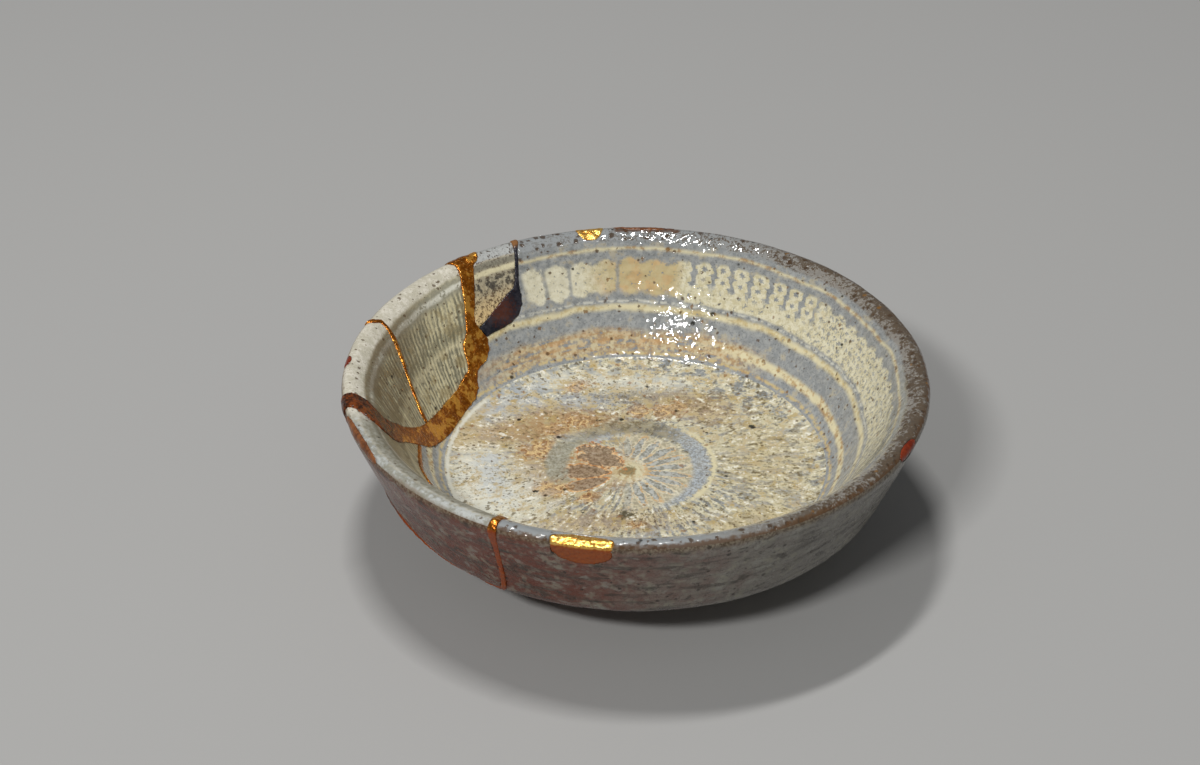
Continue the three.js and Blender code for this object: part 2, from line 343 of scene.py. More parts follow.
brushedFloor = {
    # clouds of slip and of glaze: middle, half length and half width in mm, turn, colour, strength
    "clouds": [((-25, 12), (16, 5.5), 12, "tan", 0.75), ((-14, 17), (13, 6), -10, "tan", 0.6),
               ((-20, -4), (8, 12), 10, "tan", 0.5), ((-6, 31), (17, 4.5), -4, "milk", 0.75),
               ((-10, 24), (9, 3), 0, "ice", 0.6), ((-34, -8), (7, 15), 0, "milk", 0.85),
               ((-27, -14), (9, 10), 20, "milk", 0.8), ((-31, -4), (3, 9), 8, "ice", 0.5),
               ((-30, 22), (12, 5), 38, "ice", 0.6), ((-12, -31), (18, 5), -12, "milk", 0.5),
               ((6, 25), (18, 4), -4, "umber", 0.45), ((14, 21), (9, 5), -20, "tan", 0.5),
               ((-6, -22), (16, 4), 4, "tan", 0.45), ((-9, 10), (7, 2.4), 10, "ice", 0.7),
               ((24, -24), (14, 6), 35, "straw", 0.6), ((28, 2), (10, 14), 0, "straw", 0.4),
               ((-38, 14), (4, 9), -20, "straw", 0.6)],
    # knots of burst orange slip, in scales: middle and half size in mm
    "knots": [((-21, 4.6), 5.4), ((-12.5, 15.8), 5), ((-18, 13), 3.4), ((-17.4, -10), 4.6),
              ((1.2, 19.8), 3.6), ((7.8, 20.6), 4.6), ((-10, -13), 3), ((-13, 30), 3.2), ((0, -23), 1.8)],
    # the ring's edges, and the lines of slip outside it and at the floor's edge: radius and width in mm
    "ring": (13.4, 17.3), "ringLine": (18.2, 0.9), "edgeLine": (40.7, 0.8), "ringMiddle": (-1, -1),
    "ringShade": (12.4, 17.2), "greyBand": (13.6, 18.4),  # edges in mm
    # the stamped flower: its middle, its petals, and for a petal how far out it lies, half length and width
    "stampMiddle": (-1.7, -3.2), "stampPetals": 22, "petalAt": (8.9, 4.9, 0.95),
    # the stamp's three broad petals: middle, half length and half width in mm, turn, raggedness
    "petals": [((-7.2, 1.9), (5.8, 4.2), 140, 1.6), ((-10.4, -3.5), (5, 3.1), 178, 0.7),
               ((-10.2, -8), (4.9, 2.3), 204, 0.35)],
    # dark spots that stand out: middle and half size in mm
    "spots": [((26.1, 13.8), 0.9), ((19.6, -5.3), 0.45), ((-2.9, 16.6), 0.6), ((-16.7, 9.8), 0.5),
              ((-25.5, 16.6), 0.5), ((-21.2, -10.9), 0.65), ((15.8, 11.4), 0.4), ((3, 30), 0.7),
              ((-29, 9.5), 0.4), ((12, -22), 0.45)],
    "tones": {
        "greyGlaze": paint(142, 144, 140), "paleGlaze": paint(188, 191, 190),
        "slip": paint(222, 213, 178), "slipTop": paint(240, 237, 220), "bareGlaze": paint(136, 140, 140),
        "sand": paint(188, 162, 112), "ochre": paint(186, 160, 98), "slipFleck": paint(236, 232, 212),
        "mossFleck": paint(112, 98, 64), "whiteFleck": paint(248, 245, 232),
        "ringShade": paint(104, 96, 74), "ringShadeTop": paint(158, 148, 122),
        "stampGround": paint(178, 168, 142), "stampGroundTop": paint(216, 206, 176),
        "petalGrey": paint(144, 144, 134), "petalPale": paint(190, 192, 188),
        "petalRim": paint(236, 230, 206), "petalRimWarm": paint(212, 170, 116),
        "broadPetal": paint(122, 98, 74), "broadPetalTop": paint(170, 146, 120),
        "orangeRim": paint(204, 136, 78), "orangeRimTop": paint(240, 196, 140),
        "knot": paint(150, 116, 80), "knotTop": paint(206, 172, 130), "scaleGap": paint(158, 104, 50),
        "scaleEdgeHighlight": paint(236, 206, 150), "knotFleck": paint(98, 72, 44),
        "greyBand": paint(140, 138, 120), "greyBandTop": paint(176, 174, 158),
        "frontSpot": paint(74, 68, 44), "rustSpot": paint(142, 96, 44), "umberSpot": paint(92, 70, 42),
    },
}


def floorFinish():
    made, tones = Finish("brushed floor"), brushedFloor["tones"]
    x, y, radius, place = made.x, made.y, made.radius, made.place
    grain = made.noise(place, 2.3, 2, 0.6)
    fine = made.noise(place, 0.95, 3, 0.68)
    medium = made.noise(place, 0.36, 3, 0.6)
    broad = made.noise(place, 0.12, 3, 0.6)
    along, across = x / (radius + 0.01), y / (radius + 0.01)
    # the brush's dabs: soft strokes towards the middle, blotches at the back
    blotches = made.noise(made.vector(x * 0.36, y * 0.44, 4), 1, 2, 0.55)
    behind = made.step(y - abs(x) * 0.3 + (medium - 0.5) * 20, 0, 18)
    dabs = made.noise(made.vector(along * 19, across * 19, radius * 0.22), 1, 2, 0.6)
    dabs = dabs + (blotches - dabs) * behind
    strokes = made.noise(made.vector(along * 8, across * 8, radius * 0.13 + 9), 1, 2, 0.6)
    strokes = strokes + (medium - strokes) * behind
    dashes = made.noise(made.vector(along * 42, across * 42, radius * 0.6 + 5), 1, 2, 0.6)
    colour = made.mix(made.step(medium * 0.4 + fine * 0.6, 0.4, 0.6), tones["greyGlaze"],
                      tones["paleGlaze"])
    colour = made.mix(made.step(strokes * 0.25 + dabs * 0.45 + fine * 0.3, 0.45, 0.53) * 0.85, colour,
                      tones["slip"])
    colour = made.mix(made.step(dabs * 0.5 + fine * 0.5, 0.54, 0.62) * 0.8, colour, tones["slipTop"])
    colour = made.mix(made.step(dabs * 0.5 + medium * 0.3 + fine * 0.2, 0.47, 0.4) * 0.8, colour,
                      tones["bareGlaze"])
    ragged = (fine - 0.5) * 2.4 + (strokes - 0.5) * 2 + (medium - 0.5) * 1.5
    for middle, size, turn, tint, strength in brushedFloor["clouds"]:
        colour = made.mix(made.cloud(middle, size, turn, ragged, (1.5, 0.3)) * strength, colour,
                          palette[tint])
    colour = made.mix(made.step(medium * 0.5 + strokes * 0.2 + fine * 0.3, 0.5, 0.6) * 0.6, colour,
                      tones["sand"])
    ochre = made.noise(made.vector(x + 40, y, 7), 0.3, 3, 0.65)
    colour = made.mix(made.step(ochre * 0.7 + fine * 0.3, 0.53, 0.61) * 0.65, colour, tones["ochre"])
    colour = made.mix(made.step(dabs * 0.4 + fine * 0.6, 0.56, 0.62) * 0.6, colour, tones["slipFleck"])
    thickly = made.step(broad + medium * 0.5, 0.66, 0.78)
    mossy = made.step(dashes * 0.5 + grain * 0.5, 0.55, 0.61) * thickly
    colour = made.mix(mossy * 0.8, colour, palette["moss"])
    colour = made.mix(made.step(dashes * 0.35 + fine * 0.35 + medium * 0.3, 0.455, 0.4) * 0.8, colour,
                      tones["mossFleck"])
    colour = made.mix(made.step(dabs * 0.35 + dashes * 0.2 + fine * 0.45, 0.56, 0.61) * 0.75, colour,
                      tones["whiteFleck"])
    # the ring
    fromRing = made.reach(x - brushedFloor["ringMiddle"][0], y - brushedFloor["ringMiddle"][1])
    wobble = fromRing + (fine - 0.5) * 2 + (medium - 0.5) * 1.2
    ring = made.between(wobble, *brushedFloor["ring"], 0.4)
    ringTone = made.mix(made.step(grain, 0.42, 0.6), palette["slate"], palette["ice"])
    colour = made.mix(ring * made.step(x, 3, 9) * 0.85, colour, ringTone)
    shaded = made.between(wobble + (medium - 0.5) * 4, *brushedFloor["ringShade"], 1)
    shaded = shaded * made.step(y + (medium - 0.5) * 6, 6, 11) * made.step(x, 14, 8)
    colour = made.mix(shaded * made.step(fine, 0.3, 0.5) * 0.8, colour, made.mix(
        made.step(fine * 0.5 + medium * 0.5, 0.42, 0.56), tones["ringShade"], tones["ringShadeTop"]))
    colour = made.mix(made.line(wobble, *brushedFloor["ringLine"], 0.3) * made.step(x, 8, 14) * 0.95,
                      colour, palette["cream"])
    edgeLine = made.line(radius + (fine - 0.5) * 0.8, *brushedFloor["edgeLine"], 0.3)
    colour = made.mix(edgeLine * made.step(x, -30, -35) * 0.9, colour, palette["milk"])
    # the stamped flower
    flowerX, flowerY = brushedFloor["stampMiddle"]
    out = made.reach(x - flowerX, y - flowerY)
    turn = made.sum("ARCTAN2", y - flowerY, x - flowerX)
    petals = brushedFloor["stampPetals"]
    fold = made.sum("PINGPONG", turn * (petals / 2 / math.tau) + (medium - 0.5) * 0.4, 0.5)
    side = (fold - 0.25) * out * (math.tau / petals * 2)
    petalOut, petalLong, petalWide = brushedFloor["petalAt"]
    petal = made.reach((out - petalOut) / petalLong, side / petalWide) + (fine - 0.5) * 0.7
    inFlower = made.step(out, 15, 13.2) * made.step(x, -5, 1)
    colour = made.mix(inFlower * 0.9, colour, made.mix(made.step(fine, 0.42, 0.6), tones["stampGround"],
                                                       tones["stampGroundTop"]))
    colour = made.mix(inFlower * made.step(petal, 0.95, 0.8) * 0.9, colour, made.mix(
        made.step(fine, 0.42, 0.58), tones["petalGrey"], tones["petalPale"]))
    petalLine = inFlower * made.line(petal, 1.05, 0.3, 0.14) * made.step(grain, 0.34, 0.46)
    colour = made.mix(petalLine * 0.9, colour, made.mix(
        made.step(medium * 0.6 + fine * 0.4, 0.46, 0.56), tones["petalRim"], tones["petalRimWarm"]))
    colour = made.mix(made.step(out + (fine - 0.5) * 5, 4.8, 2.4) * 0.9, colour, palette["cream"])
    colour = made.mix(made.step(out + (fine - 0.5) * 3, 2.4, 1.4) * 0.85, colour, palette["moss"])
    # rust round the broad petals, then the petals with orange rims
    colour = made.mix(made.cloud((-9.5, -3), (9, 9.5), 0, ragged, (1.1, 0.5)) * 0.55, colour,
                      palette["tan"])
    for middle, size, turned, rough in brushedFloor["petals"]:
        there = made.node("ShaderNodeMapping", {"vector_type": "TEXTURE"}, {
            "Vector": place, "Location": (*middle, 0), "Rotation": (0, 0, math.radians(turned)),
            "Scale": (*size, throughCup)})
        tip = made.node("ShaderNodeSeparateXYZ", values={0: there})
        lobes = made.sum("ARCTAN2", tip.other("Y"), tip) * 8
        scallop = made.sum("SINE", lobes + medium * 9) * (0.06 * rough)
        reach = made.reach(tip, tip.other("Y") / (tip * 0.3 + 0.85)) + scallop
        reach = reach + (fine - 0.5) * (0.8 * rough)
        colour = made.mix(made.step(reach, 1.04, 0.94) * 0.85, colour, made.mix(
            made.step(grain * 0.4 + fine * 0.6, 0.42, 0.58), tones["broadPetal"], tones["broadPetalTop"]))
        colour = made.mix(made.line(reach, 1, 0.13, 0.07) * made.step(grain, 0.3, 0.42), colour, made.mix(
            made.step(fine, 0.44, 0.56), tones["orangeRim"], tones["orangeRimTop"]))
    # knots: scales of slip with pale edges painted as highlights, rusty between, and dark pits
    shaken = made.vector(x + (fine - 0.5) * 1.8, y + (medium - 0.5) * 4 + (fine - 0.5), made.z)
    edges = made.node("ShaderNodeTexVoronoi", {"feature": "DISTANCE_TO_EDGE"},
                      {"Vector": shaken, "Scale": 0.42})
    pits = made.spots(made.vector(x + fine, y + grain, made.z), 1.9, 0.8, 0.34)
    knots = 0
    for middle, size in brushedFloor["knots"]:
        knot = made.cloud(middle, (size, size * 0.75), 14, ragged * 0.8, (1.2, 0.5))
        knots = made.sum("MAXIMUM", knots, knot)
    colour = made.mix(knots * 0.6, colour, made.mix(made.step(fine, 0.4, 0.56), tones["knot"],
                                                    tones["knotTop"]))
    scaled = knots * made.step(medium * 0.5 + strokes * 0.5, 0.42, 0.5)
    colour = made.mix(scaled * made.step(edges, 0.24, 0.12) * 0.65, colour, tones["scaleGap"])
    # painted highlight along the edges of the scales
    colour = made.mix(scaled * made.step(edges, 0.1, 0.05) * made.step(grain, 0.34, 0.46) * 0.9, colour,
                      tones["scaleEdgeHighlight"])
    colour = made.mix(knots * made.step(grain * 0.5 + fine * 0.5, 0.57, 0.63) * 0.6, colour,
                      tones["knotFleck"])
    colour = made.mix(knots * pits * 0.85, colour, palette["soot"])
    # the ring's grey band at the left
    frayed = fromRing + (fine - 0.5) * 1.6 + (medium - 0.5) * 2
    band = made.between(frayed, *brushedFloor["greyBand"], 0.6)
    band = band * made.step(x, -7, -10)
    colour = made.mix(band * made.between(y + (fine - 0.5) * 3, -7, 9, 3) * 0.85, colour, made.mix(
        made.step(fine * 0.5 + grain * 0.5, 0.42, 0.58), tones["greyBand"], tones["greyBandTop"]))
    # specks and pits
    colour = made.mix(made.cloud((-1.8, -19.4), (1.9, 1.5), 0, (fine - 0.5) * 3, (1.3, 0.3)) * 0.85,
                      colour, tones["frontSpot"])
    rust = made.spots(made.vector(x + fine * 2, y + grain * 1.6, made.z), 2.7, 0.7, 0.22)
    colour = made.mix(rust * 0.7, colour, tones["rustSpot"])
    umber = made.spots(made.vector(x + fine, y + grain, made.z), 1.4, 0.42, 0.4)
    colour = made.mix(umber * 0.75, colour, tones["umberSpot"])
    soot = made.spots(made.vector(x + fine * 2.6, y + grain * 2, made.z), 5, 0.7, 0.3)
    for middle, size in brushedFloor["spots"]:
        blot = made.cloud(middle, (size, size * 0.8), 0, (fine - 0.5) * 2 + (grain - 0.5) * 1.6, (1.2, 0.6))
        soot = made.sum("MAXIMUM", soot, blot)
    colour = made.mix(soot * 0.95, colour, palette["soot"])
    height = fine * 0.18 + medium * 0.6 + dabs * 0.16 - soot * 0.2 - umber * 0.12 - rust * 0.1
    return made.close(colour, 0.04 + fine * 0.1, height, 0.5)


glazedWall = {
    # rings of slip: radius and width in mm
    "fineRing": (56.2, 0.42), "wideRing": (48.4, 0.8), "warmRing": (44.4, 1.15), "floorRing": (42.2, 0.6),
    "hairRing": (49.25, 0.3),
    # the patches at the back: degrees apart, and where one gap lies; the radii between which the lip begins
    "patchTurn": 6.2, "patchGap": 93.8, "lip": (57.2, 58),
    # stamped florets: degrees apart, height in mm along the wall, radius of the upper and the lower edge
    "stampTurn": 5, "stampRow": 2.5, "stampTop": 54.95, "stampFoot": 49.6, "alongWall": 1.75,
    # degrees, 0 at the right and 90 at the back, over which a part of the pattern comes or goes
    "turns": {
        "warmComes": (44, 60), "warmGoes": (150, 125), "ringGoesRight": (74, 54),
        "ringComesLeft": (158, 170), "fineRing": (-60, -30), "front": (205, 215), "lattice": (44, 34),
        "gaps": (101, 104), "patches": (76, 77.4), "bare": (117, 119), "pale": (98, 106),
        "tanComes": (77, 80), "tanGoes": (104, 92), "brownGoes": (84, 40), "brownComes": (-84, -50),
        "flecksGo": (140, 80), "flecksCome": (10, 60),
    },
    # radii in mm between which a band lies or over which it comes
    "warmBand": (42.4, 45.6), "strokeBand": (43.4, 45.4), "thickens": (57, 62.5),
    "lipEdge": (61.3, 62.1), "stainEdge": (59.4, 60),
    "tones": {
        "paleSlate": paint(168, 170, 168), "tanTop": paint(214, 200, 160),
        "warmStroke": paint(208, 164, 116), "slip": paint(212, 202, 164),
        "slipTop": paint(232, 226, 198), "slipLeft": paint(240, 236, 214),
        "slipTan": paint(208, 172, 116), "lipGrey": paint(154, 157, 157),
        "lipBrown": paint(112, 106, 98), "lipPale": paint(168, 162, 152),
        "lipFleckDark": paint(50, 40, 28), "lipFleck": paint(98, 76, 50), "backFleck": paint(92, 78, 62),
        "lipSpot": paint(74, 54, 34), "lipEdge": paint(96, 70, 46), "stain": paint(92, 62, 40),
        "rustSpot": paint(132, 92, 38),
    },
}


def wallFinish(name):
    made, tones, turns = Finish(name), glazedWall["tones"], glazedWall["turns"]
    x, y, radius, place = made.x, made.y, made.radius, made.place
    grain = made.noise(place, 2.4, 2, 0.6)
    fine = made.noise(place, 0.9, 3, 0.62)
    medium = made.noise(place, 0.35, 3, 0.6)
    slow = made.noise(place, 0.1, 2)
    rim = radius + (slow - 0.5) * 1.3 + (fine - 0.5) * 0.35 + (medium - 0.5) * 0.15
    # the angle in degrees, with its cut at the front
    around = made.sum("ARCTAN2", x * -1, y) * (180 / math.pi) + 90
    colour = made.mix(made.step(fine * 0.6 + medium * 0.4, 0.4, 0.6), palette["slate"], tones["paleSlate"])
    colour = made.mix(made.step(grain, 0.56, 0.68) * 0.6, colour, palette["deepSlate"])
    colour = made.mix(made.step(medium, 0.56, 0.7) * 0.35, colour, palette["straw"])
    # tan strokes above the floor at the back, then the rings
    warm = made.step(around, *turns["warmComes"]) * made.step(around, *turns["warmGoes"])
    streaks = made.noise(made.vector(around * 0.09, radius * 1.5, 3), 1, 3, 0.6)
    warmEdge = made.between(rim, *glazedWall["warmBand"], 0.7) * warm
    warmEdge = warmEdge * made.step(streaks * 0.5 + fine * 0.5, 0.38, 0.5)
    colour = made.mix(warmEdge * 0.85, colour, made.mix(
        made.step(fine, 0.42, 0.6), palette["tan"], tones["tanTop"]))
    warmEdge = made.between(rim, *glazedWall["strokeBand"], 0.8) * warm
    warmEdge = warmEdge * made.step(streaks * 0.4 + medium * 0.4 + fine * 0.2, 0.47, 0.6)
    colour = made.mix(warmEdge * 0.5, colour, tones["warmStroke"])
    sides = made.sum("MAXIMUM", made.step(around, *turns["ringGoesRight"]),
                     made.step(around, *turns["ringComesLeft"]))
    rings = {
        "warmRing": (sides, "tan", "cream"), "floorRing": (made.step(fine, 0.4, 0.52), "tan", "straw"),
        "wideRing": (1, "straw", "cream"),
        "fineRing": (made.step(around, *turns["fineRing"]), "tan", "cream"),
    }
    for ring, (share, low, high) in rings.items():
        middle, width = glazedWall[ring]
        slipTone = made.mix(made.step(fine * 0.5 + medium * 0.5, 0.38, 0.54), palette[low], palette[high])
        worn = made.step(streaks * 0.3 + fine * 0.4 + grain * 0.3, 0.34, 0.44)
        colour = made.mix(made.line(rim, middle, width, 0.34) * share * worn, colour, slipTone)
    hair = made.line(rim, *glazedWall["hairRing"], 0.15) * made.step(fine, 0.42, 0.55)
    colour = made.mix(hair * 0.6, colour, palette["milk"])
    # stamped florets: a scalloped ring of slip round a bare middle, two to a column, then smeared slip
    down = (glazedWall["stampTop"] - rim) * glazedWall["alongWall"]
    row, turned = glazedWall["stampRow"], glazedWall["stampTurn"]
    column = made.sum("FLOORED_MODULO", around + (slow - 0.5) * 4 + (fine - 0.5) * 0.6, turned)
    beside = (column - turned / 2) * radius * (math.pi / 180)
    above = made.sum("FLOORED_MODULO", down + (medium - 0.5), row) - row / 2
    lobes = made.sum("SINE", made.sum("ARCTAN2", above, beside) * 6)
    floret = made.reach(beside, above * 1.2) + lobes * 0.16 + (grain - 0.5) * 0.8 + (fine - 0.5) * 0.8
    slip = made.step(floret, 2.05, 1.75) * made.step(floret, 0.4, 0.75)
    smeared = made.step(down + (fine - 0.5) * 4 + (medium - 0.5) * 4, 4.8, 6.6)
    slip = made.sum("MAXIMUM", slip, smeared * made.step(fine * 0.6 + grain * 0.4, 0.4, 0.47))
    # further right, and round to the front, the stamps crowd into a slanting lattice with a notched top
    front = made.step(around, *turns["front"])
    shake = (fine - 0.5) * 1.1 + medium * 1.2
    slantA = made.sum("PINGPONG", around * (80 / 360) + down * 0.15 + shake, 0.5)
    slantB = made.sum("PINGPONG", around * (72 / 360) - down * 0.19 + shake, 0.5)
    holes = made.reach(slantA - 0.25, slantB - 0.25) + (grain - 0.5) * 0.16 + (fine - 0.5) * 0.16
    dense = 1 - made.step(holes, 0.16, 0.08) * 0.85
    dense = dense * made.step(fine * 0.5 + grain * 0.5, 0.37, 0.44)
    notches = made.sum("PINGPONG", around / 5 + (medium - 0.5) * 0.4, 0.5)
    dense = dense * made.step(down + notches * 3 + (fine - 0.5) * 2, 0.8, 1.8)
    right = made.step(around + (medium - 0.5) * 14, *turns["lattice"])
    slip = slip + (dense - slip) * made.sum("MAXIMUM", right, front)
    # at the back the slip lies in whole patches with soft gaps
    apart, gap = glazedWall["patchTurn"], glazedWall["patchGap"]
    gaps = made.sum("PINGPONG", (around + (slow - 0.5) * 2 + (fine - 0.5) - gap) / apart, 0.5)
    parted = made.sum("MAXIMUM", made.step(around, *turns["gaps"]), made.line(around, gap, 2, 0.4))
    pooled = 1 - made.step(gaps + (fine - 0.5) * 0.16, 0.13, 0.02) * parted * 0.75
    pooled = pooled * made.step(down + gaps * 3 + (fine - 0.5) * 2.6 + (grain - 0.5), 0.7, 2)
    pooled = pooled * made.step(down - gaps * 2 + (medium - 0.5) * 5, 8.4, 6.8)
    pooled = pooled * made.step(fine * 0.6 + grain * 0.4, 0.34, 0.43)
    patches = made.step(around + (fine - 0.5) * 1.5, *turns["patches"])
    slip = slip + (pooled - slip) * patches * (1 - front)
    slip = slip * (1 - made.step(around, *turns["bare"]) * (1 - front))
    inBand = made.between(rim, glazedWall["stampFoot"], glazedWall["stampTop"], 0.25)
    tone = made.mix(made.step(fine * 0.6 + grain * 0.4, 0.42, 0.58), tones["slip"], tones["slipTop"])
    tone = made.mix(made.step(around, *turns["pale"]) * 0.5, tone, tones["slipLeft"])
    tanPatch = made.step(around, *turns["tanComes"]) * made.step(around, *turns["tanGoes"])
    tone = made.mix(tanPatch * 0.85, tone, made.mix(
        made.step(medium, 0.42, 0.6), palette["straw"], tones["slipTan"]))
    colour = made.mix(inBand * slip * 0.95, colour, tone)
    # under the lip
    lip = made.step(rim, *glazedWall["lip"])
    brownish = made.step(around, *turns["brownGoes"]) * made.step(around, *turns["brownComes"])
    brown = made.mix(fine, tones["lipBrown"], tones["lipPale"])
    colour = made.mix(lip * 0.9, colour, made.mix(brownish, tones["lipGrey"], brown))
    thick = made.step(rim, *glazedWall["thickens"]) * 0.12 + made.step(x, 40, 58) * 0.03
    thick = thick + (medium - 0.5) * 0.3 + (slow - 0.5) * 0.2
    flecks = made.noise(made.vector(around * 1.2, radius * 0.9, 5), 1, 3, 0.66)
    flecks = flecks * 0.4 + grain * 0.3 + fine * 0.3 + thick
    colour = made.mix(lip * brownish * made.step(flecks, 0.52, 0.6) * 0.85, colour,
                      made.mix(grain, tones["lipFleckDark"], tones["lipFleck"]))
    atBack = made.step(around, *turns["flecksGo"]) * made.step(around, *turns["flecksCome"])
    speckled = lip * atBack * made.step(grain * 0.5 + fine * 0.5, 0.5, 0.56)
    colour = made.mix(speckled * 0.8, colour, tones["backFleck"])
    lipSpots = made.spots(made.vector(x + fine, y + grain, made.z + fine), 1.7, 0.95, 0.56) * lip
    colour = made.mix(lipSpots * 0.85, colour, tones["lipSpot"])
    lipEdge = made.step(rim + (fine - 0.5) * 1.6, *glazedWall["lipEdge"])
    colour = made.mix(lipEdge * 0.85, colour, tones["lipEdge"])
    stain = made.step(abs(around - 87), 7.6, 6.6)
    stain = stain * made.step(rim + (fine - 0.5) * 0.6, *glazedWall["stainEdge"])
    colour = made.mix(stain * 0.85, colour, tones["stain"])
    # specks
    rust = made.spots(made.vector(x + fine * 1.6, y + grain * 1.2, made.z + grain), 2.7, 0.66, 0.32)
    colour = made.mix(rust * 0.75, colour, tones["rustSpot"])
    umber = made.spots(made.vector(x + grain, y + fine * 1.4, made.z), 1.6, 0.52, 0.42)
    colour = made.mix(umber * 0.8, colour, palette["umber"])
    soot = made.spots(made.vector(x + fine, y, made.z), 4.6, 0.8, 0.3)
    colour = made.mix(soot * 0.9, colour, palette["soot"])
    # the wall's hollow curve, which gathers the glints low down, and the ripples that part them
    hollow = made.sum("MINIMUM", (radius - 47.2) / 6.6, 1.6)
    ripple = made.noise(place, 0.46, 1, 0.4)
    height = fine * 0.05 + ripple * 0.9 + medium * 0.15 + hollow * hollow * 2
    height = height - rust * 0.15 - umber * 0.1 - lipSpots * 0.3
    return made.close(colour, 0.02 + fine * 0.05, height, 0.5)


combedSherd = {
    # lines of slip: radius and width in mm; the radii between which the comb went
    "line": (56.1, 0.7), "lowerLine": (49.6, 0.6), "band": (43, 55.2), "darkLine": (56.1, 0.8),
    # radii in mm between which a ring lies, or the front's painted shade and painted reflection, or over
    # which the glaze of the lip comes
    "combRing": (50.2, 51.8), "underLine": (55.2, 57.2), "frontWallShade": (56.5, 60.2),
    "frontLipReflection": (59.9, 60.9), "darkRing": (53.8, 55.4), "darkUnderLine": (56.7, 58),
    "darkLip": (58, 58.6), "lipEdge": (61.7, 62.3),
    "tones": {
        "base": paint(164, 158, 132), "baseTop": paint(198, 190, 158), "combGap": paint(122, 120, 100),
        "combTop": paint(226, 216, 174), "combTan": paint(150, 132, 90), "combRing": paint(118, 114, 92),
        "underLine": paint(150, 148, 132), "leftBrownShade": paint(108, 88, 58), "lip": paint(202, 196, 176),
        "lipTop": paint(230, 224, 208), "lipFleck": paint(146, 132, 104),
        "frontWallShade": paint(112, 108, 90), "frontWallShadeTop": paint(150, 150, 138),
        "frontLipReflection": paint(124, 124, 114), "frontLipReflectionTop": paint(172, 178, 178),
        "speck": paint(92, 70, 44), "darkLow": paint(226, 196, 142), "darkHigh": paint(176, 166, 142),
        "darkFleck": paint(92, 68, 42), "darkRing": paint(70, 68, 62),
        "darkUnderLine": paint(112, 110, 98), "darkLip": paint(178, 181, 180),
        "darkLipFleck": paint(76, 64, 50), "lipEdge": paint(120, 98, 70),
    },
}


